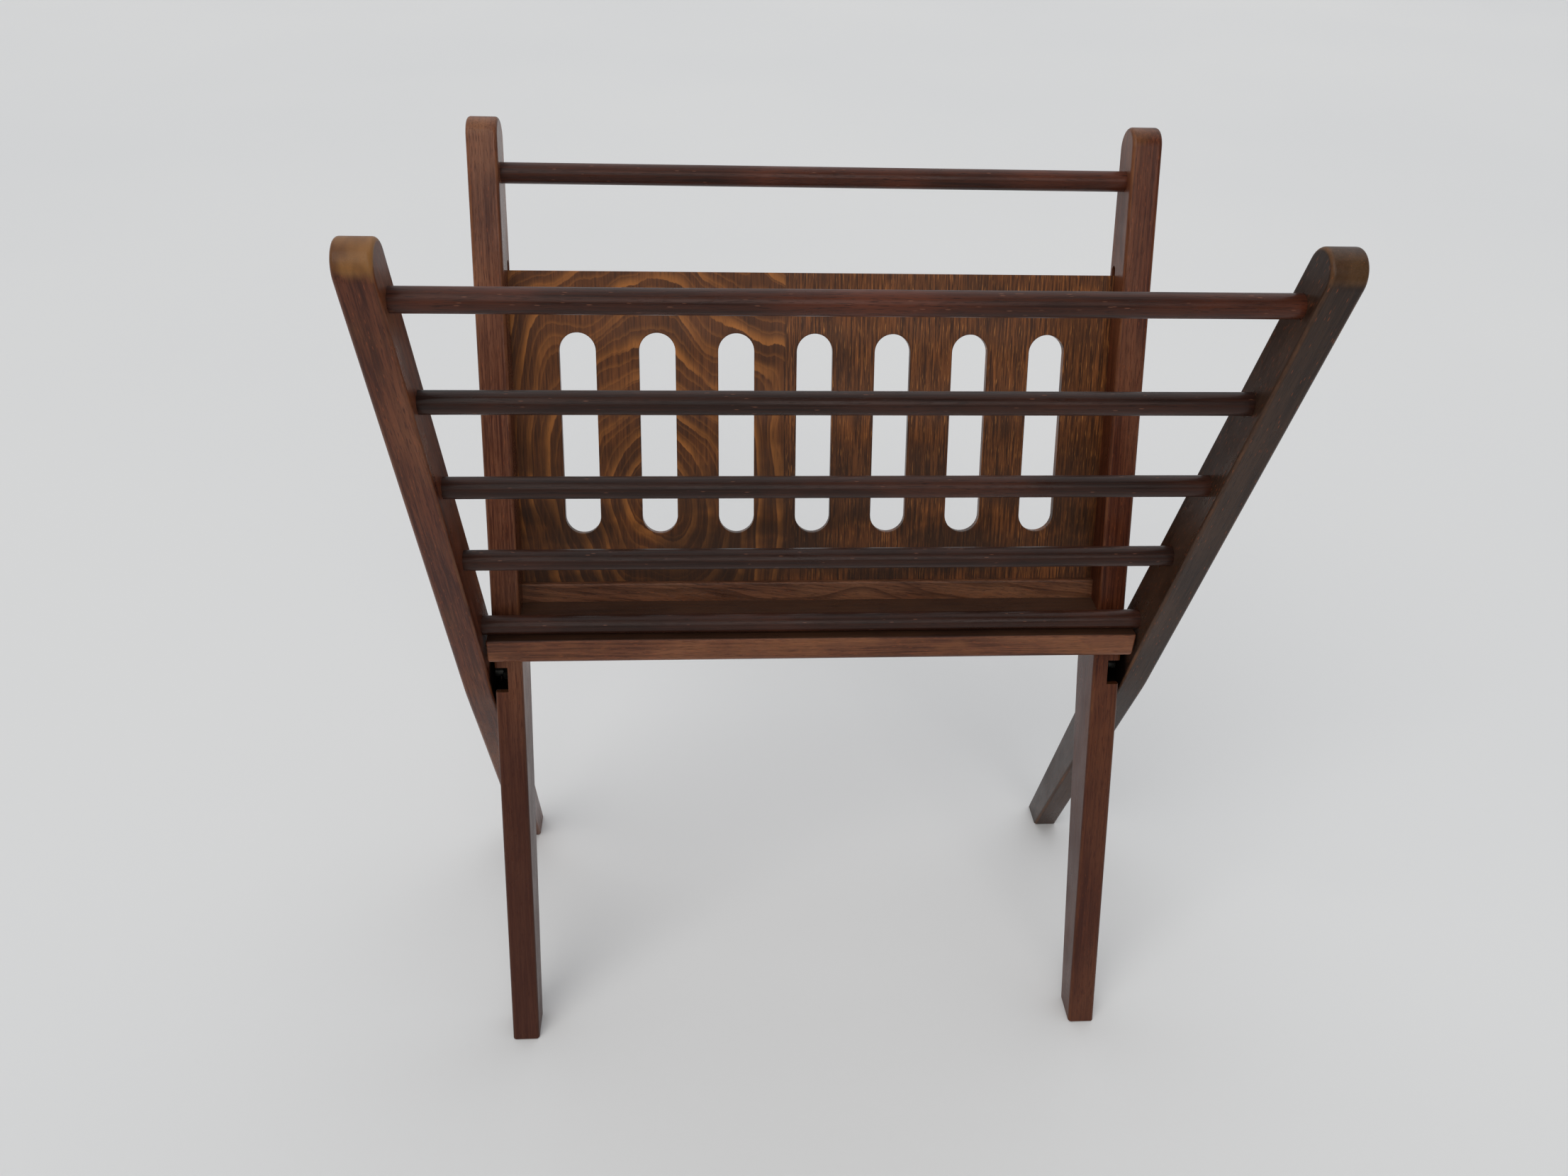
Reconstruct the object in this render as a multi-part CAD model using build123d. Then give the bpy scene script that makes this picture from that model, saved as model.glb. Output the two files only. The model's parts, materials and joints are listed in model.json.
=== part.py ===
from build123d import *
from math import asin, atan, cos, degrees, radians, sin, tan
import os

# Magazine rack: two crossing frames of stained beech that turn on each other.
# The front frame carries five rungs. The back frame carries a slotted panel, a rail,
# a floor board and a top rung. Millimetres, +X right, +Y back, +Z up,
# origin on the floor under the middle of the rack.

# ---- driving dimensions ----
RACK_WIDTH = 450.0            # over the front frame's stiles
STILE_THICKNESS = 18.0
FRAME_GAP = 2.0               # between a front stile and the back stile beside it
PIVOT_HEIGHT = 238.0

STILE_WIDTH_AT_PIVOT = 36.0
STILE_WIDTH_AT_TIP = 24.0
STILE_WIDTH_AT_FOOT = 21.0
STILE_BEND_RADIUS = 220.0     # eases the slight bend at the pivot
ARRIS = 2.2                   # softened long edges
FOOT_ARRIS = 0.8

FRONT_LEAN_ABOVE = 20.0       # degrees from upright, top towards the front
FRONT_LEAN_BELOW = 21.0
FRONT_REACH = 347.0           # pivot to the tip, along the stile
BACK_LEAN_ABOVE = 19.5        # degrees from upright, top towards the back
BACK_LEAN_BELOW = 23.0
BACK_REACH = 341.0

RUNG_DIAMETER = 12.0
RUNG_SOCKET = 12.0            # depth of the blind hole in a stile
RUNG_END_CHAMFER = 0.8
TOP_RUNG_AT = 316.0           # front frame, distance from the pivot along the stile
RUNG_PITCH = 64.5
LOWEST_RUNG_AT = 55.0
RUNG_COUNT = 5
BACK_RUNG_AT = 310.0
GLUE_LINE = 0.05

PANEL_THICKNESS = 6.0
PANEL_SETBACK = 3.0           # panel's front face behind the stile's middle plane
PANEL_TOP_AT = 254.5
PANEL_IN_GROOVE = 5.5
GROOVE_DEPTH = 6.0
GROOVE_RUNOUT = 6.0           # stopped groove ends this far above the panel
SLOT_COUNT = 7
SLOT_PITCH = 49.0
SLOT_WIDTH = 22.5
SLOT_BOTTOM_AT = 91.5
SLOT_TOP_AT = 218.0
PANEL_EASE = 0.5              # broken edges of the slots and of the panel's top

RAIL_TOP_AT = 59.5
RAIL_HEIGHT = 34.0
RAIL_THICKNESS = 18.0
RAIL_PROUD = 2.0              # rail's front face ahead of the stile's middle plane
RAIL_GROOVE_DEPTH = 8.0

BOARD_THICKNESS = 18.0
BOARD_FRONT = 28.0            # board's front face ahead of the pivot
BOARD_END_GAP = 2.0           # board's end to the front stile
BOARD_NOSE = 4.5              # rounded lower front edge
BOARD_EASE = 1.2
STOP_CLEARANCE = 0.3          # lowest rung above the board, and clear of the back stiles

PIN_DIAMETER = 8.0
PIN_IN_RAIL = 18.0
PIN_IN_STILE = 12.0
PIN_SHARES = (0.22, 0.56)     # heights of the rail pins, as shares of the rail's height
BOARD_PIN_DIAMETER = 6.0
BOARD_PIN_LENGTH = 24.0
BOARD_PIN_X = (-130.0, 0.0, 130.0)

HOUSING_HEIGHT = 16.5         # square pocket in the back stile's outer face, open to the front
HOUSING_DEPTH = 8.5
HOUSING_PAST_PIVOT = 8.0      # how far the pocket runs on behind the pivot's axis
STUD_DIAMETER = 6.0
STUD_RUNNING = 0.05           # radial clearance where a front stile turns on its stud
STUD_IN_WEB = 8.0
STUD_SHORT = 0.5              # outer end below the front stile's outer face
STUD_CHAMFER = 0.6
RECESS_DIAMETER = 16.0        # in the front stile's outer face, for washer and nut
RECESS_DEPTH = 7.0
WASHER_DIAMETER = 13.0
WASHER_THICKNESS = 1.2
NUT_ACROSS_FLATS = 10.0
NUT_THICKNESS = 5.0
NUT_EASE = 0.8

# ---- worked out from them ----
FRONT_OUTER_X = RACK_WIDTH / 2
FRONT_INNER_X = FRONT_OUTER_X - STILE_THICKNESS
BACK_OUTER_X = FRONT_INNER_X - FRAME_GAP
BACK_INNER_X = BACK_OUTER_X - STILE_THICKNESS
TIP_RADIUS = STILE_WIDTH_AT_TIP / 2
FRONT_OVERHANG = (FRONT_REACH - TIP_RADIUS) * sin(radians(FRONT_LEAN_ABOVE)) + TIP_RADIUS
BACK_OVERHANG = (BACK_REACH - TIP_RADIUS) * sin(radians(BACK_LEAN_ABOVE)) + TIP_RADIUS
PIVOT_Y = (FRONT_OVERHANG - BACK_OVERHANG) / 2
RUNG_RADIUS = RUNG_DIAMETER / 2
BOARD_TOP = (PIVOT_HEIGHT + LOWEST_RUNG_AT * cos(radians(FRONT_LEAN_ABOVE))
             - RUNG_RADIUS - STOP_CLEARANCE)
SIDES = {"left": -1, "right": 1}


def along(lean, distance, ahead=0.0):
    """Point (y, z) that far up a stile's middle line and ahead of it; lean is positive backwards."""
    angle = radians(lean)
    y = PIVOT_Y + distance * sin(angle) - ahead * cos(angle)
    z = PIVOT_HEIGHT + distance * cos(angle) + ahead * sin(angle)
    return y, z


def side_plane(x):
    """Sketch plane at x whose local x and y are the rack's Y and Z."""
    return Plane(origin=(x, 0, 0), x_dir=(0, 1, 0), z_dir=(1, 0, 0))


def stile_outline(lean_above, lean_below, reach):
    """Side view of one stile: tapered both ways from the pivot, round tip, foot cut on the floor."""
    half_pivot = STILE_WIDTH_AT_PIVOT / 2
    half_foot = STILE_WIDTH_AT_FOOT / 2
    leg = PIVOT_HEIGHT / cos(radians(lean_below))
    shoulder = reach - TIP_RADIUS
    front_tip = along(lean_above, shoulder, TIP_RADIUS)
    crown = along(lean_above, reach)
    back_tip = along(lean_above, shoulder, -TIP_RADIUS)
    front_waist = along(lean_above, 0, half_pivot)
    back_waist = along(lean_above, 0, -half_pivot)
    front_foot = floor_point(front_waist, along(lean_below, -leg, half_foot))
    back_foot = floor_point(back_waist, along(lean_below, -leg, -half_foot))
    with BuildSketch() as outline:
        with BuildLine():
            ThreePointArc(front_tip, crown, back_tip)
            Polyline(back_tip, back_waist, back_foot, front_foot, front_waist, front_tip)
        make_face()
        waist = outline.vertices().sort_by_distance((PIVOT_Y, PIVOT_HEIGHT))[:2]
        fillet(waist, STILE_BEND_RADIUS)
    return outline.sketch


def floor_point(start, end):
    """Where the line through two side-view points meets the floor."""
    share = start[1] / (start[1] - end[1])
    return start[0] + share * (end[0] - start[0]), 0.0


def prism(outline, x_low, x_high):
    """The outline as a solid between two x positions."""
    return extrude(side_plane(x_low) * outline, x_high - x_low)


def soft_stile(outline, x_low, x_high):
    """A stile blank with softened arrises and a lightly broken foot."""
    blank = prism(outline, x_low, x_high)
    sides = blank.faces().filter_by(Axis.X)
    edges = [edge for face in sides for edge in face.edges()]
    softened = fillet([edge for edge in edges if edge.center().Z > FOOT_ARRIS], ARRIS)
    bottom = softened.faces().sort_by(Axis.Z)[0]
    return chamfer(bottom.edges(), FOOT_ARRIS)


def cylinder_x(diameter, x_low, x_high, y, z):
    """Round bar along X."""
    return Pos((x_low + x_high) / 2, y, z) * Rot(0, 90, 0) * Cylinder(diameter / 2, x_high - x_low)


def tilted_box(x_low, x_high, low_at, high_at, back, front):
    """Box square to the back frame: from low_at to high_at up it, back and front across it."""
    y, z = along(BACK_LEAN_ABOVE, (low_at + high_at) / 2, (back + front) / 2)
    block = Box(x_high - x_low, front - back, high_at - low_at)
    return Pos((x_low + x_high) / 2, y, z) * Rot(-BACK_LEAN_ABOVE, 0, 0) * block


def front_rung_positions():
    """Distances of the front rungs from the pivot, top one first."""
    spaced = [TOP_RUNG_AT - RUNG_PITCH * step for step in range(RUNG_COUNT - 1)]
    return spaced + [LOWEST_RUNG_AT]


def rung(inner_x, lean, distance):
    """A round rung that ends in the blind sockets of two stiles."""
    end = inner_x + RUNG_SOCKET - GLUE_LINE
    y, z = along(lean, distance)
    bar = cylinder_x(RUNG_DIAMETER, -end, end, y, z)
    return chamfer(bar.edges(), RUNG_END_CHAMFER)


def socket(side, inner_x, lean, distance):
    """Blind hole for a rung, in the inner face of the stile on that side."""
    y, z = along(lean, distance)
    ends = sorted((side * (inner_x - 1), side * (inner_x + RUNG_SOCKET)))
    return cylinder_x(RUNG_DIAMETER + 2 * GLUE_LINE, *ends, y, z)


def front_stile(side):
    """Outer stile: rung sockets, pivot bore and the recess for its nut."""
    outline = stile_outline(-FRONT_LEAN_ABOVE, -FRONT_LEAN_BELOW, FRONT_REACH)
    inner, outer = side * FRONT_INNER_X, side * FRONT_OUTER_X
    body = soft_stile(outline, min(inner, outer), max(inner, outer))
    for distance in front_rung_positions():
        body -= socket(side, FRONT_INNER_X, -FRONT_LEAN_ABOVE, distance)
    bore_ends = sorted((inner - side, outer + side))
    body -= cylinder_x(STUD_DIAMETER + 2 * STUD_RUNNING, *bore_ends, PIVOT_Y, PIVOT_HEIGHT)
    recess_ends = sorted((outer - side * RECESS_DEPTH, outer + side))
    body -= cylinder_x(RECESS_DIAMETER, *recess_ends, PIVOT_Y, PIVOT_HEIGHT)
    return body


def panel_groove(side):
    """Stopped groove in a back stile's inner face, with a rounded upper end."""
    low = RAIL_TOP_AT - RAIL_GROOVE_DEPTH - GLUE_LINE
    high = PANEL_TOP_AT + GROOVE_RUNOUT
    middle = -PANEL_SETBACK - PANEL_THICKNESS / 2
    half = PANEL_THICKNESS / 2 + GLUE_LINE
    ends = sorted((side * (BACK_INNER_X - 1), side * (BACK_INNER_X + GROOVE_DEPTH)))
    groove = tilted_box(*ends, low, high - half, middle - half, middle + half)
    y, z = along(BACK_LEAN_ABOVE, high - half, middle)
    return groove + cylinder_x(2 * half, *ends, y, z)


def back_stile(side):
    """Inner stile: rung socket, panel groove, rail pins, and the pocket and hole at the pivot."""
    outline = stile_outline(BACK_LEAN_ABOVE, BACK_LEAN_BELOW, BACK_REACH)
    inner, outer = side * BACK_INNER_X, side * BACK_OUTER_X
    body = soft_stile(outline, min(inner, outer), max(inner, outer))
    body -= socket(side, BACK_INNER_X, BACK_LEAN_ABOVE, BACK_RUNG_AT)
    body -= panel_groove(side)
    for pin in rail_pins(GLUE_LINE, side):
        body -= pin
    housing_ends = sorted((outer - side * HOUSING_DEPTH, outer + side))
    half = HOUSING_HEIGHT / 2
    body -= tilted_box(*housing_ends, -half, half, -HOUSING_PAST_PIVOT, STILE_WIDTH_AT_PIVOT)
    web = outer - side * HOUSING_DEPTH
    hole_ends = sorted((web + side, web - side * (STUD_IN_WEB + GLUE_LINE)))
    body -= cylinder_x(STUD_DIAMETER, *hole_ends, PIVOT_Y, PIVOT_HEIGHT)
    return body


def slot_centres():
    """X positions of the panel's slots."""
    middle = (SLOT_COUNT - 1) / 2
    return [(index - middle) * SLOT_PITCH for index in range(SLOT_COUNT)]


def slotted_panel():
    """Thin board with upright round-ended slots, held in the stiles' and the rail's grooves."""
    low = RAIL_TOP_AT - RAIL_GROOVE_DEPTH
    back = -PANEL_SETBACK - PANEL_THICKNESS
    half = BACK_INNER_X + PANEL_IN_GROOVE
    panel = tilted_box(-half, half, low, PANEL_TOP_AT, back, -PANEL_SETBACK)
    y, z = along(BACK_LEAN_ABOVE, 0, back - 1)
    face = Plane(origin=(0, y, z), x_dir=(1, 0, 0),
                 z_dir=(0, -cos(radians(BACK_LEAN_ABOVE)), sin(radians(BACK_LEAN_ABOVE))))
    slot_middle = (SLOT_BOTTOM_AT + SLOT_TOP_AT) / 2
    slot_height = SLOT_TOP_AT - SLOT_BOTTOM_AT
    with BuildSketch() as slots:
        with Locations([(x, slot_middle) for x in slot_centres()]):
            SlotOverall(slot_height, SLOT_WIDTH, rotation=90)
    panel -= extrude(face * slots.sketch, PANEL_THICKNESS + 2)
    broken = panel.edges().filter_by(Axis.X).sort_by(Axis.Z)[-2:]
    for broad_face in panel.faces().sort_by(SortBy.AREA)[-2:]:
        for rim in broad_face.inner_wires():
            broken += rim.edges()
    return chamfer(broken, PANEL_EASE)


def lower_rail():
    """Rail between the back stiles; its groove takes the panel's lower edge."""
    low = RAIL_TOP_AT - RAIL_HEIGHT
    back = RAIL_PROUD - RAIL_THICKNESS
    rail = tilted_box(-BACK_INNER_X, BACK_INNER_X, low, RAIL_TOP_AT, back, RAIL_PROUD)
    long_edges = rail.edges().filter_by(Axis.X)
    rail = fillet(long_edges, BOARD_EASE)
    panel_back = -PANEL_SETBACK - PANEL_THICKNESS - GLUE_LINE
    panel_front = -PANEL_SETBACK + GLUE_LINE
    floor_of_groove = RAIL_TOP_AT - RAIL_GROOVE_DEPTH - GLUE_LINE
    rail -= tilted_box(-BACK_OUTER_X, BACK_OUTER_X, floor_of_groove, RAIL_TOP_AT + 1,
                       panel_back, panel_front)
    for side in SIDES.values():
        for pin in rail_pins(GLUE_LINE, side):
            rail -= pin
    for pin in board_pins(GLUE_LINE):
        rail -= pin
    return rail


def rail_pins(clearance, side):
    """Two round pins that join one end of the rail to its stile."""
    ends = sorted((side * (BACK_INNER_X - PIN_IN_RAIL - clearance),
                   side * (BACK_INNER_X + PIN_IN_STILE + clearance)))
    low = RAIL_TOP_AT - RAIL_HEIGHT
    pins = []
    for share in PIN_SHARES:
        y, z = along(BACK_LEAN_ABOVE, low + share * RAIL_HEIGHT, RAIL_PROUD - RAIL_THICKNESS / 2)
        pins.append(cylinder_x(PIN_DIAMETER + 2 * clearance, *ends, y, z))
    return pins


def board_pins(clearance):
    """Round pins that join the floor board's back edge to the rail, level with the board."""
    middle_z = BOARD_TOP - BOARD_THICKNESS / 2
    face_y = rail_face_y(middle_z)
    pins = []
    for x in BOARD_PIN_X:
        pin = Cylinder(BOARD_PIN_DIAMETER / 2 + clearance, BOARD_PIN_LENGTH + 2 * clearance)
        pins.append(Pos(x, face_y, middle_z) * Rot(90, 0, 0) * pin)
    return pins


def rail_face_y(z):
    """Y of the rail's front face at that height."""
    y, start_z = along(BACK_LEAN_ABOVE, 0, RAIL_PROUD)
    return y + (z - start_z) * tan(radians(BACK_LEAN_ABOVE))


def floor_board():
    """Level board that closes the bottom of the trough and stops the lowest rung."""
    half = FRONT_INNER_X - BOARD_END_GAP
    front = PIVOT_Y - BOARD_FRONT
    back = rail_face_y(BOARD_TOP) + 1
    middle_z = BOARD_TOP - BOARD_THICKNESS / 2
    board = Pos(0, (front + back) / 2, middle_z) * Box(2 * half, back - front, BOARD_THICKNESS)
    front_edges = board.edges().filter_by(Axis.X).group_by(Axis.Y)[0].sort_by(Axis.Z)
    board = fillet(front_edges[0], BOARD_NOSE)
    upper_front = board.edges().filter_by(Axis.X).sort_by(Axis.Z)[-2:].sort_by(Axis.Y)[0]
    board = fillet(upper_front, BOARD_EASE)
    upright = board.edges().filter_by(Axis.Z).group_by(Axis.Y)[0]
    board = fillet(upright, BOARD_EASE)
    board -= tilted_box(-RACK_WIDTH, RACK_WIDTH, -RACK_WIDTH, RACK_WIDTH, -RACK_WIDTH, RAIL_PROUD)
    outline = stile_outline(BACK_LEAN_ABOVE, BACK_LEAN_BELOW, BACK_REACH)
    for side in SIDES.values():
        ends = sorted((side * (BACK_INNER_X - GLUE_LINE), side * (BACK_OUTER_X + 1)))
        board -= prism(outline, *ends)
    for pin in board_pins(GLUE_LINE):
        board -= pin
    return board


def pivot_stud(side):
    """Threaded stud fast in the back stile's web; the front stile turns on its plain outer end."""
    web = BACK_OUTER_X - HOUSING_DEPTH
    ends = sorted((side * (web - STUD_IN_WEB), side * (FRONT_OUTER_X - STUD_SHORT)))
    stud = cylinder_x(STUD_DIAMETER, *ends, PIVOT_Y, PIVOT_HEIGHT)
    return chamfer(stud.edges(), STUD_CHAMFER)


def hex_nut(side, x_near):
    """Hexagon nut on the stud, from x_near outwards, corners eased at both faces."""
    middle = side * (x_near + NUT_THICKNESS / 2)
    with BuildSketch() as hexagon:
        RegularPolygon(NUT_ACROSS_FLATS / 2, 6, major_radius=False)
    nut = Pos(0, 0, -NUT_THICKNESS / 2) * extrude(hexagon.sketch, NUT_THICKNESS)
    corner_radius = NUT_ACROSS_FLATS / 2 / cos(radians(30))
    easing = chamfer(Cylinder(corner_radius, NUT_THICKNESS).edges(), NUT_EASE)
    nut = (nut & easing) - Cylinder(STUD_DIAMETER / 2, 2 * NUT_THICKNESS)
    return Pos(middle, PIVOT_Y, PIVOT_HEIGHT) * Rot(0, 90, 0) * nut


def pivot_washer(side):
    """Flat washer at the bottom of the recess in the front stile."""
    near = FRONT_OUTER_X - RECESS_DEPTH + GLUE_LINE
    ends = sorted((side * near, side * (near + WASHER_THICKNESS)))
    washer = cylinder_x(WASHER_DIAMETER, *ends, PIVOT_Y, PIVOT_HEIGHT)
    return washer - cylinder_x(STUD_DIAMETER, -RACK_WIDTH, RACK_WIDTH, PIVOT_Y, PIVOT_HEIGHT)


def fold_limit():
    """Degrees the front frame tips back before its lowest rung meets the back stiles."""
    taper = atan((STILE_WIDTH_AT_PIVOT - STILE_WIDTH_AT_TIP) / 2 / (BACK_REACH - TIP_RADIUS))
    reach = STILE_WIDTH_AT_PIVOT / 2 * cos(taper) + RUNG_RADIUS + STOP_CLEARANCE
    between = degrees(asin(reach / LOWEST_RUNG_AT) - taper)
    return FRONT_LEAN_ABOVE + BACK_LEAN_ABOVE - between


def write(name, solids):
    """Write one node's STEP file; several solids go in as a group."""
    shape = solids[0] if len(solids) == 1 else Compound(children=solids)
    export_step(shape, f"parts/{name}.step")


def main():
    os.makedirs("parts", exist_ok=True)
    sides = SIDES.values()
    for name, side in SIDES.items():
        write(f"front_stile_{name}", [front_stile(side)])
        write(f"back_stile_{name}", [back_stile(side)])
    for index, distance in enumerate(front_rung_positions(), start=1):
        write(f"front_rung_{index}", [rung(FRONT_INNER_X, -FRONT_LEAN_ABOVE, distance)])
    write("back_top_rung", [rung(BACK_INNER_X, BACK_LEAN_ABOVE, BACK_RUNG_AT)])
    write("slotted_panel", [slotted_panel()])
    write("lower_rail", [lower_rail()])
    write("floor_board", [floor_board()])
    write("rail_pins", [pin for side in sides for pin in rail_pins(0.0, side)])
    write("board_pins", board_pins(0.0))
    write("pivot_studs", [pivot_stud(side) for side in sides])
    write("jam_nuts", [hex_nut(side, BACK_OUTER_X - HOUSING_DEPTH) for side in sides])
    write("pivot_washers", [pivot_washer(side) for side in sides])
    nut_from = FRONT_OUTER_X - RECESS_DEPTH + GLUE_LINE + WASHER_THICKNESS
    write("pivot_nuts", [hex_nut(side, nut_from) for side in sides])
    print(f"pivot at y {PIVOT_Y:.3f} z {PIVOT_HEIGHT:.3f}, fold limit {fold_limit():.2f} degrees")


main()
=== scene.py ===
import json
from math import cos, radians, sin

import bpy
from mathutils import Matrix, Vector

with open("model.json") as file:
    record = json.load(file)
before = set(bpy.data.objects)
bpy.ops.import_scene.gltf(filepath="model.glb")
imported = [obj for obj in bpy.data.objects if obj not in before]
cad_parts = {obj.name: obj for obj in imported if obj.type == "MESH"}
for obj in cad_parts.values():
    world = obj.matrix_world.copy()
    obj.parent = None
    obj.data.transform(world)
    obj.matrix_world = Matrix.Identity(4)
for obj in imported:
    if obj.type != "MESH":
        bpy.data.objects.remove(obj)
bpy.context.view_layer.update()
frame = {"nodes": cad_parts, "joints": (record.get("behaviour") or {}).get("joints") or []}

# Looks for the magazine rack, in metres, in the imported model's frame. Each wooden node gets
# stained beech or veneer whose grain runs the way the piece was sawn. The patterns are laid
# out in millimetres from the pivot, across, through and along each piece's grain.

RIGHT = Vector((1, 0, 0))
BACK = Vector((0, 1, 0))
UP = Vector((0, 0, 1))
PIVOT = Vector(frame["joints"][0]["pos_m"])
MM_PER_METRE = 1000

FRONT_LEAN = radians(-20.5)      # a front stile's mean lean, with its top towards the front
BACK_LEAN = radians(20.5)        # a back stile's mean lean
PANEL_LEAN = radians(19.5)
RAIL_GRAIN_SLOPE = -0.12         # the rail's grain runs down to the right

CAMERA_AT = Vector((-0.0687, -0.6183, 0.7367))
CAMERA_PITCH = radians(34.88)
CAMERA_YAW = radians(4.53)
CAMERA_ROLL = radians(2.13)
SENSOR_WIDTH = 36.0
LENS = 27.4

FLOOR_HALF = 6.0
ROOM_COLOUR = (0.95, 0.97, 1.0, 1.0)
ROOM_IN_FRONT, ROOM_BEHIND = 0.2, 0.55      # the room's light from each way
ROOM_FADE_FROM, ROOM_FADE_TO = -0.4, 0.7    # where it changes, as the direction's Y
SUNS = (    # name, direction it comes from, spread in degrees, strength, colour
    ("window", (-0.55, -0.6, 0.85), 45.0, 0.95, (1.0, 0.98, 0.95)),
    ("ceiling", (0.1, 0.35, 1.0), 75.0, 0.75, (0.98, 0.99, 1.0)),
    ("room", (0.1, -1.0, 0.55), 34.0, 0.5, (1.0, 0.98, 0.96)),
)

# Stains, each as its dark, middle and light tone. Tones are as they look, 0 to 255.
RED_BROWN = (60, 25, 14), (102, 54, 33), (132, 82, 54)
# The right front stile's stain, darkened with painted shade for its side away from the light
SHADED_STILE_BROWN = (34, 20, 13), (57, 39, 28), (74, 52, 39)
PALE_RED = (70, 34, 22), (118, 72, 50), (148, 98, 70)
RUNG_BROWN = (42, 20, 13), (66, 34, 22), (104, 54, 36)
DARK_RUNG_BROWN = (34, 17, 11), (52, 28, 19), (82, 45, 31)
BOARD_BROWN = (66, 33, 20), (112, 66, 44), (140, 90, 62)
RAIL_BROWN = (64, 36, 23), (118, 74, 51), (150, 102, 72)
UNSTAINED = (150, 110, 70), (176, 134, 90), (196, 154, 108)

FLECK_TONE = (150, 78, 44)
RUNG_FLECK_TONE = (140, 92, 70)
PIN_FLECK_TONE = (150, 100, 64)
ARRIS_TONE = (160, 104, 62)                 # where the stain is rubbed thin
TIP_TONES = (92, 58, 34), (150, 106, 60)
# Painted shade that deepens down a stile's leg
LEG_SHADE_TONE = (56, 20, 8)
# Painted shade in the pocket round the pivot and where two stiles meet
PIVOT_SHADE_TONE = (20, 13, 10)
# Painted shade on the board's top, under the lowest rung and the rail
BOARD_TOP_SHADE_TONE = (44, 33, 27)
STEEL_TONES = (44, 43, 41), (70, 69, 66)
FLOOR_TONES = (226, 227, 228), (232, 232, 231)

VENEER_DARK = (62, 33, 16)
LEFT_LEAF_LIGHT = (126, 73, 35)
LEFT_LEAF_BLOTCH = (66, 37, 20)
RIGHT_LEAF_LIGHT = (140, 82, 40)
RIGHT_LEAF_BLOTCH = (68, 39, 22)
RIDGE_TONE = (206, 130, 62)
FINE_RIDGE_TONE = (190, 118, 54)
PALE_TICK_TONE = (200, 130, 66)
DARK_TICK_TONE = (54, 32, 18)
SEAM_TONE = (42, 25, 15)
# Dark smudges on the panel, with painted shade from the rungs and the rail low down
SMUDGE_AND_SHADE_TONE = (44, 27, 16)

# Patterns in wood, in cycles per mm across, through and along the grain
STREAKS = (0.5, 0.5, 0.012)
PORES = (2.2, 2.2, 0.13)
PATCHES = (0.02, 0.02, 0.008)
RING_BEND = (0.012, 0.012, 0.006)
RUBBING = (0.06, 0.06, 0.03)
TIP_SMUDGE = (0.08, 0.04, 0.05)
HAZE = (0.03, 0.03, 0.015)
VENEER_STREAKS = (0.75, 0.1, 0.03)
VENEER_TICKS = (1.7, 0.1, 0.09)
VENEER_BLOTCHES = (0.03, 0.0, 0.02)
FIGURE_WARP = (0.013, 0.0, 0.007)
FINE_FIGURE_WARP = (0.25, 0.0, 0.03)
# The panel's dark smudges and painted shade
SMUDGES_AND_SHADE = (0.018, 0.0, 0.03)
STEEL_BLOTCHES = (0.3, 0.3, 0.3)
TURNING_MARKS = (0.2, 0.2, 6.0)
FLOOR_CLOUD = (0.7, 0.7, 0.7)               # cycles per metre

# Sizes in mm
RING_SPACING, RAIL_RING_SPACING = 3.4, 9.0
TREE_CENTRE = (62, 38, 0)                   # of the growth rings, in the shifted coordinates
FLECK_WIDTH, FLECK_LENGTH = 0.5, 3.0
PIVOT_FROM_X, PIVOT_TO_X = 190.0, 210.0     # across the gap between the stiles
MEETING_RADIUS, MEETING_EDGE = 20, 10       # painted shade on the faces where two stiles meet
POCKET_RADIUS, POCKET_EDGE = 14.0, 2.5      # painted shade inside the pocket round the jam nut
LEG_FROM, LEG_TO = 60, -90                  # heights from the pivot where the painted shade on the leg deepens
VENEER_SEAM, SEAM_WIDTH = -18.5, 0.5        # where the panel's two veneer leaves meet
FIGURE_X, FIGURE_UP = -100.0, 118.0         # middle of the oval figure on the left leaf
FIGURE_STEP_X, FIGURE_STEP_UP = 13.0, 18.0  # between two bold lines of the figure
SMUDGE_AND_SHADE_FROM, SMUDGE_AND_SHADE_TO = 80, 190              # heights where the panel's dark smudges and painted shade thin out

COAT = 0.06
BEECH_COAT_ROUGHNESS, VENEER_COAT_ROUGHNESS = 0.14, 0.18
SHEEN = 0.2
ARRIS_WEAR = 0.3
# How much painted shade darkens the board's top
BOARD_TOP_SHADE_SHARE = 0.8
FIGURE_WOBBLE, FINE_FIGURE_WOBBLE, RING_WOBBLE = 5.5, 0.22, 5.0    # in line spacings
FINE_RIDGES = 2.6                           # fine lines to each bold one
GRAIN_DEPTH, MARK_DEPTH = 0.00012, 0.00003  # metres


def display(red, green, blue):
    """A colour given as it looks, 0 to 255, as linear light."""
    channels = []
    for value in (red, green, blue):
        share = value / 255
        channels.append(share / 12.92 if share <= 0.04045 else ((share + 0.055) / 1.055) ** 2.4)
    return (*channels, 1.0)


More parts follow.
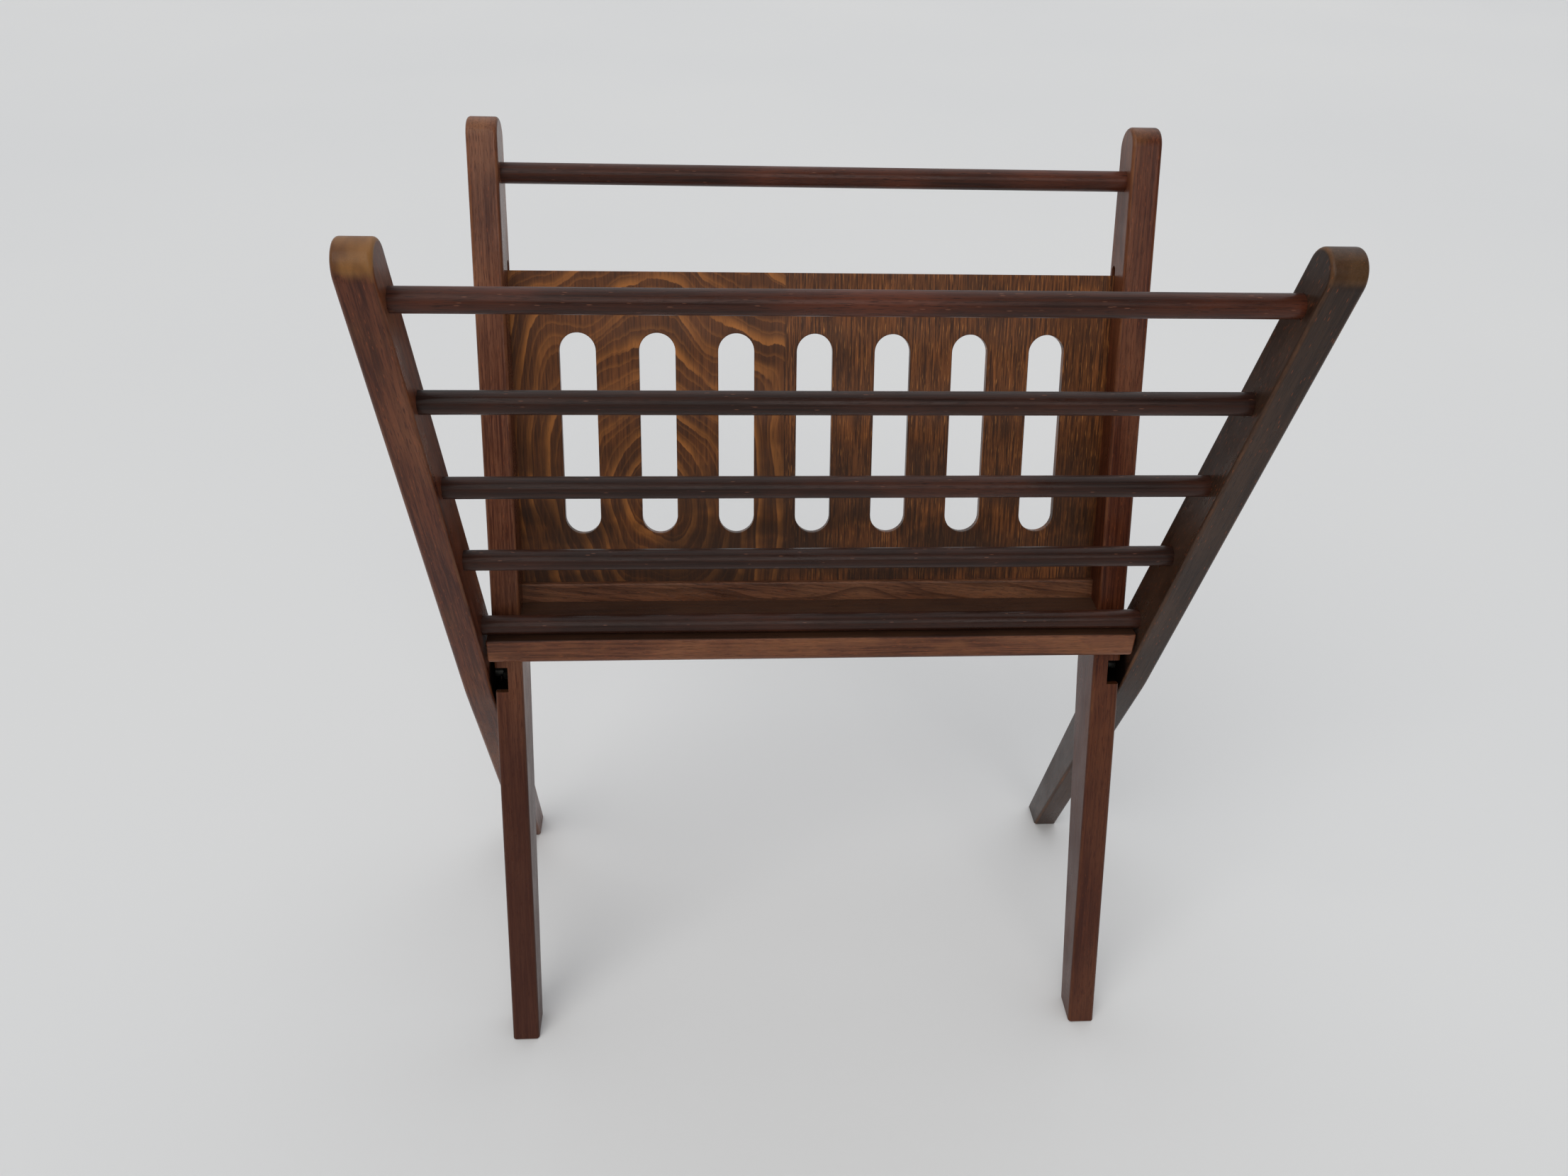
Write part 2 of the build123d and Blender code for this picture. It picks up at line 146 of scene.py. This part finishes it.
class Finish:
    """One material's node tree, with short calls for the nodes that the finishes need."""

    def __init__(self, name):
        self.material = bpy.data.materials.new(name)
        self.material.use_nodes = True
        self.tree = self.material.node_tree
        self.tree.nodes.clear()
        self.shader = self.add("ShaderNodeBsdfPrincipled")
        output = self.add("ShaderNodeOutputMaterial")
        self.tree.links.new(self.shader.outputs[0], output.inputs[0])

    def add(self, kind, **settings):
        node = self.tree.nodes.new(kind)
        for key, value in settings.items():
            setattr(node, key, value)
        return node

    def put(self, node, socket, source):
        """Set a socket to a number, a vector or another node's output."""
        if isinstance(source, bpy.types.NodeSocket):
            self.tree.links.new(source, node.inputs[socket])
        else:
            node.inputs[socket].default_value = source

    def shade(self, socket, source):
        """Set one of the shader's own sockets."""
        self.put(self.shader, socket, source)

    def maths(self, operation, first, second=0.0):
        node = self.add("ShaderNodeMath", operation=operation)
        self.put(node, 0, first)
        self.put(node, 1, second)
        return node.outputs[0]

    def vector(self, operation, first, second):
        node = self.add("ShaderNodeVectorMath", operation=operation)
        self.put(node, 0, first)
        self.put(node, 1, second)
        return node.outputs["Value"] if operation in ("DOT_PRODUCT", "DISTANCE") else node.outputs[0]

    def ramp(self, source, low, high, to_low=0.0, to_high=1.0):
        """Stretch a signal from low..high to to_low..to_high, with soft ends."""
        node = self.add("ShaderNodeMapRange", interpolation_type="SMOOTHSTEP", clamp=True)
        for socket, value in enumerate((source, low, high, to_low, to_high)):
            self.put(node, socket, value)
        return node.outputs["Result"]

    def blend(self, share, first, second):
        """Mix two colours. The share is the second one's."""
        node = self.add("ShaderNodeMix", data_type="RGBA", blend_type="MIX")
        self.put(node, 0, share)
        self.put(node, 6, first)
        self.put(node, 7, second)
        return node.outputs[2]

    def noise(self, place, stretch, detail=3.0, roughness=0.55, distortion=0.0):
        """Noise from 0 to 1, with stretch cycles per unit along each axis."""
        node = self.add("ShaderNodeTexNoise")
        self.put(node, "Vector", self.vector("MULTIPLY", place, stretch))
        self.put(node, "Scale", 1.0)
        self.put(node, "Detail", detail)
        self.put(node, "Roughness", roughness)
        self.put(node, "Distortion", distortion)
        return node.outputs[0]

    def axes(self, along, across, shift):
        """Local coordinates in mm: X across, Y through, Z along the grain, from the pivot.

        The second result is the same, shifted, so that no two pieces share their figure."""
        along = along.normalized()
        across = (across - across.dot(along) * along).normalized()
        through = along.cross(across)
        place = self.vector("SUBTRACT", self.add("ShaderNodeTexCoord").outputs["Object"], PIVOT)
        joined = self.add("ShaderNodeCombineXYZ")
        for index, axis in enumerate((across, through, along)):
            self.put(joined, index, self.vector("DOT_PRODUCT", place, axis * MM_PER_METRE))
        moved = self.vector("ADD", joined.outputs[0], (shift, shift * 0.7, shift * 3.1))
        return joined.outputs[0], moved

    def normal(self):
        """The surface's normal in the piece's own axes, so that it stays with a moving piece."""
        return self.add("ShaderNodeTexCoord").outputs["Normal"]

    def split(self, place):
        """The X, Y and Z of a vector."""
        node = self.add("ShaderNodeSeparateXYZ")
        self.put(node, 0, place)
        return node.outputs

    def bump(self, height, depth, strength):
        """Turn a 0..1 height signal into relief depth metres deep."""
        node = self.add("ShaderNodeBump")
        self.put(node, "Strength", strength)
        self.put(node, "Distance", depth)
        self.put(node, "Height", height)
        self.shade("Normal", node.outputs[0])


def varnish(finish, moved, smooth, rough, coat_roughness):
    """A thin semi-gloss coat with a faint haze. The result is the roughness under it."""
    finish.shade("Coat Weight", COAT)
    finish.shade("Coat Roughness", coat_roughness)
    finish.shade("Specular IOR Level", SHEEN)
    haze = finish.noise(moved, HAZE, detail=4.0, roughness=0.6)
    return finish.ramp(haze, 0.3, 0.7, smooth, rough)


def growth_rings(finish, moved, spacing):
    """Growth rings about the tree's centre: 0 at a ring's soft start, 1 at its dark hard end."""
    flat = finish.vector("MULTIPLY", moved, (1, 1, 0))
    distance = finish.vector("DISTANCE", flat, TREE_CENTRE)
    bend = finish.noise(moved, RING_BEND, detail=2.0)
    turns = finish.maths("ADD", finish.maths("DIVIDE", distance, spacing),
                         finish.maths("MULTIPLY", bend, RING_WOBBLE))
    return finish.maths("FRACT", turns)


def beech_grain(finish, moved, stain, ring_spacing, ring_share):
    """The stained grain's tone, with its streaks and its pores for the relief."""
    dark, middle, light = (display(*tone) for tone in stain)
    streaks = finish.noise(moved, STREAKS, detail=6.0, roughness=0.68, distortion=0.4)
    patches = finish.noise(moved, PATCHES)
    ring = growth_rings(finish, moved, ring_spacing)
    pores = finish.ramp(finish.noise(moved, PORES, detail=2.0, roughness=0.5), 0.54, 0.68, 0.0, 0.75)
    tone = finish.blend(finish.ramp(streaks, 0.36, 0.62), dark, middle)
    tone = finish.blend(finish.ramp(patches, 0.42, 0.72, 0.0, 0.75), tone, light)
    ring_line = finish.maths("MULTIPLY", finish.ramp(ring, 0.72, 1.0), ring_share)
    tone = finish.blend(ring_line, tone, dark)
    return finish.blend(pores, tone, dark), streaks, pores


def scatter_flecks(finish, tone, moved, share, fleck_tone):
    """Short lens-shaped rays, scattered along the grain."""
    cells = finish.add("ShaderNodeTexVoronoi", feature="F1")
    stretch = (0.5 / FLECK_WIDTH, 0.5 / FLECK_WIDTH, 0.5 / FLECK_LENGTH)
    finish.put(cells, "Vector", finish.vector("MULTIPLY", moved, stretch))
    finish.put(cells, "Scale", 1.0)
    spot = finish.ramp(cells.outputs["Distance"], 0.12, 0.3, 1.0, 0.0)
    chosen = finish.ramp(finish.split(cells.outputs["Color"])[0], 1 - share, 1 - share * 0.6)
    ray = finish.maths("MULTIPLY", spot, chosen)
    return finish.blend(finish.maths("MULTIPLY", ray, 0.5), tone, display(*fleck_tone))


def wear_arrises(finish, tone, moved, axis):
    """Rub the stain thin, unevenly, on the arrises where the surface turns towards the axis."""
    tilt = finish.maths("ABSOLUTE", finish.vector("DOT_PRODUCT", finish.normal(), axis))
    rising = finish.ramp(tilt, 0.12, 0.45)
    falling = finish.ramp(tilt, 0.8, 0.97, 1.0, 0.0)
    rubbing = finish.noise(moved, RUBBING, detail=4.0, roughness=0.65)
    share = finish.maths("MULTIPLY", finish.maths("MULTIPLY", rising, falling),
                         finish.ramp(rubbing, 0.4, 0.72, 0.03, ARRIS_WEAR))
    return finish.blend(share, tone, display(*ARRIS_TONE))


def shade_leg(finish, tone, place, share):
    """Darken a stile below the pivot with painted shade."""
    height = finish.split(place)[2]
    return finish.blend(finish.ramp(height, LEG_FROM, LEG_TO, 0.0, share), tone, display(*LEG_SHADE_TONE))


def rub_tip(finish, tone, moved, along, wear):
    """Rub the stain thin, in smudges, on a stile's round upper end."""
    facing = finish.vector("DOT_PRODUCT", finish.normal(), along)
    smudge = finish.noise(moved, TIP_SMUDGE, detail=2.0, roughness=0.4)
    uneven = finish.maths("ADD", facing, finish.maths("SUBTRACT", smudge, 0.5))
    share = finish.maths("MULTIPLY", finish.ramp(uneven, 0.05, 0.5, 0.0, wear),
                         finish.ramp(facing, 0.0, 0.12))
    dark, light = (display(*tip_tone) for tip_tone in TIP_TONES)
    return finish.blend(share, tone, finish.blend(finish.ramp(smudge, 0.36, 0.6), dark, light))


def shade_top(finish, tone, share):
    """Darken the level faces that look up, as painted shade from the rung and rail above them."""
    upward = finish.split(finish.normal())[2]
    return finish.blend(finish.ramp(upward, 0.75, 0.98, 0.0, share), tone, display(*BOARD_TOP_SHADE_TONE))


def pivot_shade_mask(finish, place):
    """1 where shade is painted: round the pivot, inside the pocket and on the faces where two stiles meet.
    """
    distance = finish.vector("DISTANCE", finish.vector("MULTIPLY", place, (0, 1, 1)), (0, 0, 0))
    sideways = finish.maths("ABSOLUTE", finish.split(place)[0])
    between = finish.maths("MULTIPLY", finish.ramp(sideways, PIVOT_FROM_X - 1, PIVOT_FROM_X),
                           finish.ramp(sideways, PIVOT_TO_X - 1, PIVOT_TO_X, 1.0, 0.0))
    facing_sideways = finish.maths("ABSOLUTE", finish.split(finish.normal())[0])
    near = finish.ramp(distance, MEETING_RADIUS, MEETING_RADIUS + MEETING_EDGE, 1.0, 0.0)
    meeting = finish.maths("MULTIPLY", near, finish.ramp(facing_sideways, 0.6, 0.95))
    pocket = finish.ramp(distance, POCKET_RADIUS, POCKET_RADIUS + POCKET_EDGE, 1.0, 0.0)
    return finish.maths("MULTIPLY", finish.maths("MAXIMUM", meeting, pocket), between)


def shade_pivot(finish, tone, roughness, place):
    """Paint shade on the wood round the pivot and make it dull. The results are the tone and roughness."""
    shade_and_dull = pivot_shade_mask(finish, place)
    shine = finish.maths("SUBTRACT", 1.0, shade_and_dull)
    finish.shade("Coat Weight", finish.maths("MULTIPLY", shine, COAT))
    finish.shade("Specular IOR Level", finish.maths("MULTIPLY", shine, SHEEN))
    return finish.blend(shade_and_dull, tone, display(*PIVOT_SHADE_TONE)), finish.maths("MAXIMUM", roughness, shade_and_dull)


def stained_beech(name, along, across, shift, stain, ring_spacing=RING_SPACING, ring_share=0.35,
                  fleck_share=0.3, fleck_tone=FLECK_TONE, wear_axis=None, tip_wear=0.0,
                  leg_shade_share=0.0, top_shade_share=0.0, roughness=0.3):
    """Beech under a stained semi-gloss varnish.

    Arrises that turn towards wear_axis are worn, tip_wear rubs a stile's round end, the leg's share
    paints shade that deepens below the pivot, and the top's share paints shade on level faces."""
    finish = Finish(name)
    place, moved = finish.axes(along, across, shift)
    tone, streaks, pores = beech_grain(finish, moved, stain, ring_spacing, ring_share)
    tone = scatter_flecks(finish, tone, moved, fleck_share, fleck_tone)
    if wear_axis is not None:
        tone = wear_arrises(finish, tone, moved, wear_axis)
    if leg_shade_share:
        tone = shade_leg(finish, tone, place, leg_shade_share)
    if tip_wear:
        tone = rub_tip(finish, tone, moved, along, tip_wear)
    if top_shade_share:
        tone = shade_top(finish, tone, top_shade_share)
    dullness = varnish(finish, moved, roughness - 0.06, roughness + 0.12, BEECH_COAT_ROUGHNESS)
    if leg_shade_share:
        tone, dullness = shade_pivot(finish, tone, dullness, place)
    finish.shade("Base Color", tone)
    finish.shade("Roughness", dullness)
    relief = finish.maths("SUBTRACT", finish.maths("MULTIPLY", streaks, 0.6),
                          finish.maths("MULTIPLY", pores, 0.7))
    finish.bump(relief, GRAIN_DEPTH, 0.6)
    return finish.material


def oval_figure(finish, place):
    """Bold and fine lines of an oval figure, each sharp inside and fading outwards."""
    warp = finish.noise(place, FIGURE_WARP, detail=2.0, roughness=0.45)
    fine_warp = finish.noise(place, FINE_FIGURE_WARP, roughness=0.6)
    centred = finish.vector("SUBTRACT", place, (FIGURE_X, 0, FIGURE_UP))
    squeezed = finish.vector("MULTIPLY", centred, (1 / FIGURE_STEP_X, 0, 1 / FIGURE_STEP_UP))
    radius = finish.vector("DISTANCE", squeezed, (0, 0, 0))
    turns = finish.maths("ADD", radius, finish.maths("MULTIPLY", warp, FIGURE_WOBBLE))
    turns = finish.maths("ADD", turns, finish.maths("MULTIPLY", fine_warp, FINE_FIGURE_WOBBLE))
    bold = finish.maths("FRACT", turns)
    ridge = finish.maths("MULTIPLY", finish.ramp(bold, 0.0, 0.5, 1.0, 0.0),
                         finish.ramp(bold, 0.0, 0.05))
    fine = finish.maths("FRACT", finish.maths("MULTIPLY", turns, FINE_RIDGES))
    fine_ridge = finish.maths("MULTIPLY", finish.ramp(fine, 0.0, 0.4, 1.0, 0.0),
                              finish.ramp(fine, 0.0, 0.08))
    return ridge, fine_ridge


def left_leaf(finish, place, moved, streaks, blotches):
    """The left veneer leaf: streaks and blotches under the oval figure."""
    tone = finish.blend(finish.ramp(streaks, 0.26, 0.7), display(*VENEER_DARK), display(*LEFT_LEAF_LIGHT))
    tone = finish.blend(finish.ramp(blotches, 0.38, 0.62, 0.0, 0.5), tone, display(*LEFT_LEAF_BLOTCH))
    ridge, fine_ridge = oval_figure(finish, place)
    faint = finish.ramp(finish.noise(moved, VENEER_BLOTCHES, detail=2.0), 0.36, 0.6, 0.25, 1.0)
    bold_line = finish.maths("MULTIPLY", finish.maths("MULTIPLY", ridge, 0.62), faint)
    tone = finish.blend(bold_line, tone, display(*RIDGE_TONE))
    return finish.blend(finish.maths("MULTIPLY", fine_ridge, 0.25), tone, display(*FINE_RIDGE_TONE))


def right_leaf(finish, streaks, blotches, ticks):
    """The right veneer leaf: streaks, blotches and short pale ticks."""
    tone = finish.blend(finish.ramp(streaks, 0.38, 0.66), display(*VENEER_DARK), display(*RIGHT_LEAF_LIGHT))
    tone = finish.blend(finish.ramp(blotches, 0.45, 0.7, 0.0, 0.6), tone, display(*RIGHT_LEAF_BLOTCH))
    return finish.blend(finish.ramp(ticks, 0.58, 0.72, 0.0, 0.75), tone, display(*PALE_TICK_TONE))


def veneer_panel(name):
    """Thin plywood with two leaves of face veneer: an oval figure on the left, streaks on the right."""
    finish = Finish(name)
    along = Vector((0, sin(PANEL_LEAN), cos(PANEL_LEAN)))
    place, moved = finish.axes(along, RIGHT, 210.0)
    streaks = finish.noise(moved, VENEER_STREAKS, detail=5.0, roughness=0.65)
    ticks = finish.noise(moved, VENEER_TICKS, detail=2.0, roughness=0.5)
    blotches = finish.noise(moved, VENEER_BLOTCHES)
    sideways, _, height = finish.split(place)
    tone = finish.blend(finish.ramp(sideways, VENEER_SEAM - 0.1, VENEER_SEAM + 0.1),
                        left_leaf(finish, place, moved, streaks, blotches),
                        right_leaf(finish, streaks, blotches, ticks))
    from_seam = finish.maths("ABSOLUTE", finish.maths("SUBTRACT", sideways, VENEER_SEAM))
    seam = finish.ramp(from_seam, 0.15, SEAM_WIDTH, 0.5, 0.0)
    tone = finish.blend(seam, tone, display(*SEAM_TONE))
    tone = finish.blend(finish.ramp(ticks, 0.28, 0.42, 0.5, 0.0), tone, display(*DARK_TICK_TONE))
    # Dark smudges with painted shade from the rungs and the rail, heaviest low down
    smudges_and_shade = finish.ramp(finish.noise(moved, SMUDGES_AND_SHADE), 0.34, 0.58)
    low = finish.ramp(height, SMUDGE_AND_SHADE_FROM, SMUDGE_AND_SHADE_TO, 0.75, 0.15)
    tone = finish.blend(finish.maths("MULTIPLY", smudges_and_shade, low), tone, display(*SMUDGE_AND_SHADE_TONE))
    finish.shade("Base Color", tone)
    finish.shade("Roughness", varnish(finish, moved, 0.3, 0.46, VENEER_COAT_ROUGHNESS))
    relief = finish.maths("SUBTRACT", streaks, finish.maths("MULTIPLY", ticks, 0.6))
    finish.bump(relief, GRAIN_DEPTH, 0.5)
    return finish.material


def dark_steel(name):
    """Dull, darkened steel with fine turning marks and blotchy plating."""
    finish = Finish(name)
    moved = finish.axes(RIGHT, BACK, 40.0)[1]
    blotch = finish.noise(moved, STEEL_BLOTCHES, detail=4.0)
    marks = finish.noise(moved, TURNING_MARKS, detail=2.0)
    dark, light = (display(*tone) for tone in STEEL_TONES)
    finish.shade("Base Color", finish.blend(finish.ramp(blotch, 0.35, 0.65), dark, light))
    finish.shade("Roughness", finish.ramp(blotch, 0.3, 0.7, 0.4, 0.6))
    finish.shade("Metallic", 1.0)
    finish.bump(marks, MARK_DEPTH, 0.5)
    return finish.material


def pale_floor(name):
    """Plain pale floor with a faint cloudiness."""
    finish = Finish(name)
    cloud = finish.noise(finish.add("ShaderNodeTexCoord").outputs["Object"], FLOOR_CLOUD)
    dark, light = (display(*tone) for tone in FLOOR_TONES)
    finish.shade("Base Color", finish.blend(cloud, dark, light))
    finish.shade("Roughness", finish.ramp(cloud, 0.3, 0.7, 0.5, 0.62))
    return finish.material


def dress(node, material):
    """Give a CAD node one material all over."""
    mesh = frame["nodes"][node].data
    mesh.materials.clear()
    mesh.materials.append(material)


def dress_stiles():
    stiles = (    # node, lean, stain (with painted shade on the right front stile), tip wear, share of painted shade on the leg
        ("front_stile_left", FRONT_LEAN, RED_BROWN, 0.8, 0.15),
        ("front_stile_right", FRONT_LEAN, SHADED_STILE_BROWN, 0.2, 0.15),
        ("back_stile_left", BACK_LEAN, PALE_RED, 0.15, 0.8),
        ("back_stile_right", BACK_LEAN, RED_BROWN, 0.15, 0.6),
    )
    for index, (node, lean, stain, tip_wear, leg_shade_share) in enumerate(stiles):
        along = Vector((0, sin(lean), cos(lean)))
        dress(node, stained_beech(node + "_beech", along, RIGHT, 37.0 * index, stain,
                                  wear_axis=RIGHT, tip_wear=tip_wear, leg_shade_share=leg_shade_share))


def dress_rungs():
    rungs = [f"front_rung_{number}" for number in range(1, 6)] + ["back_top_rung"]
    for index, node in enumerate(rungs):
        stain = RUNG_BROWN if node in ("front_rung_1", "back_top_rung") else DARK_RUNG_BROWN
        dress(node, stained_beech(node + "_beech", RIGHT, BACK, 53.0 * index + 11, stain,
                                  ring_share=0.2, fleck_share=0.12, fleck_tone=RUNG_FLECK_TONE))


def dress_boards():
    rail_along = RIGHT + RAIL_GRAIN_SLOPE * UP
    dress("lower_rail", stained_beech("lower_rail_beech", rail_along, BACK, 400.0, RAIL_BROWN,
                                      ring_spacing=RAIL_RING_SPACING, ring_share=0.6,
                                      fleck_share=0.2))
    # The board's top gets painted shade from the lowest rung and the rail
    dress("floor_board", stained_beech("floor_board_beech", RIGHT, BACK, 520.0, BOARD_BROWN,
                                       wear_axis=0.7 * (BACK + UP), top_shade_share=BOARD_TOP_SHADE_SHARE))
    dress("slotted_panel", veneer_panel("panel_veneer"))


def dress_small_parts():
    dress("rail_pins", stained_beech("rail_pin_beech", RIGHT, BACK, 610.0, UNSTAINED,
                                     fleck_tone=PIN_FLECK_TONE, roughness=0.55))
    dress("board_pins", stained_beech("board_pin_beech", BACK, RIGHT, 650.0, UNSTAINED,
                                      fleck_tone=PIN_FLECK_TONE, roughness=0.55))
    steel = dark_steel("dark_steel")
    for node in ("pivot_studs", "jam_nuts", "pivot_washers", "pivot_nuts"):
        dress(node, steel)


def make_floor():
    mesh = bpy.data.meshes.new("floor")
    corners = [(x, y, 0) for x, y in ((-1, -1), (1, -1), (1, 1), (-1, 1))]
    mesh.from_pydata([Vector(corner) * FLOOR_HALF for corner in corners], [], [(0, 1, 2, 3)])
    floor = bpy.data.objects.new("floor", mesh)
    bpy.context.scene.collection.objects.link(floor)
    mesh.materials.append(pale_floor("pale_floor"))


def make_sun(name, direction, spread, strength, colour):
    """A wide soft light that falls evenly, from that direction."""
    lamp = bpy.data.lights.new(name, "SUN")
    lamp.angle = radians(spread)
    lamp.energy = strength
    lamp.color = colour
    holder = bpy.data.objects.new(name, lamp)
    holder.rotation_euler = Vector(direction).to_track_quat("Z", "Y").to_euler()
    bpy.context.scene.collection.objects.link(holder)


def make_room():
    """A pale room's light, brighter from behind the rack than from in front of it."""
    world = bpy.data.worlds.new("soft_room")
    world.use_nodes = True
    tree = world.node_tree
    direction = tree.nodes.new("ShaderNodeTexCoord")
    parts = tree.nodes.new("ShaderNodeSeparateXYZ")
    fade = tree.nodes.new("ShaderNodeMapRange")
    fade.interpolation_type = "SMOOTHSTEP"
    for socket, value in (("From Min", ROOM_FADE_FROM), ("From Max", ROOM_FADE_TO),
                          ("To Min", ROOM_IN_FRONT), ("To Max", ROOM_BEHIND)):
        fade.inputs[socket].default_value = value
    background = tree.nodes["Background"]
    background.inputs["Color"].default_value = ROOM_COLOUR
    tree.links.new(direction.outputs["Generated"], parts.inputs[0])
    tree.links.new(parts.outputs["Y"], fade.inputs["Value"])
    tree.links.new(fade.outputs["Result"], background.inputs["Strength"])
    bpy.context.scene.world = world


def make_camera():
    data = bpy.data.cameras.new("camera")
    data.sensor_width = SENSOR_WIDTH
    data.lens = LENS
    camera = bpy.data.objects.new("camera", data)
    forward = Vector((sin(CAMERA_YAW) * cos(CAMERA_PITCH), cos(CAMERA_YAW) * cos(CAMERA_PITCH),
                      -sin(CAMERA_PITCH)))
    level_right = Vector((cos(CAMERA_YAW), -sin(CAMERA_YAW), 0))
    level_up = level_right.cross(forward)
    right = cos(CAMERA_ROLL) * level_right + sin(CAMERA_ROLL) * level_up
    up = cos(CAMERA_ROLL) * level_up - sin(CAMERA_ROLL) * level_right
    camera.matrix_world = Matrix((
        (right.x, up.x, -forward.x, CAMERA_AT.x),
        (right.y, up.y, -forward.y, CAMERA_AT.y),
        (right.z, up.z, -forward.z, CAMERA_AT.z),
        (0, 0, 0, 1),
    ))
    bpy.context.scene.collection.objects.link(camera)
    bpy.context.scene.camera = camera


make_camera()
dress_stiles()
dress_rungs()
dress_boards()
dress_small_parts()
make_floor()
make_room()
for sun in SUNS:
    make_sun(*sun)
bpy.context.scene.view_settings.view_transform = "Standard"
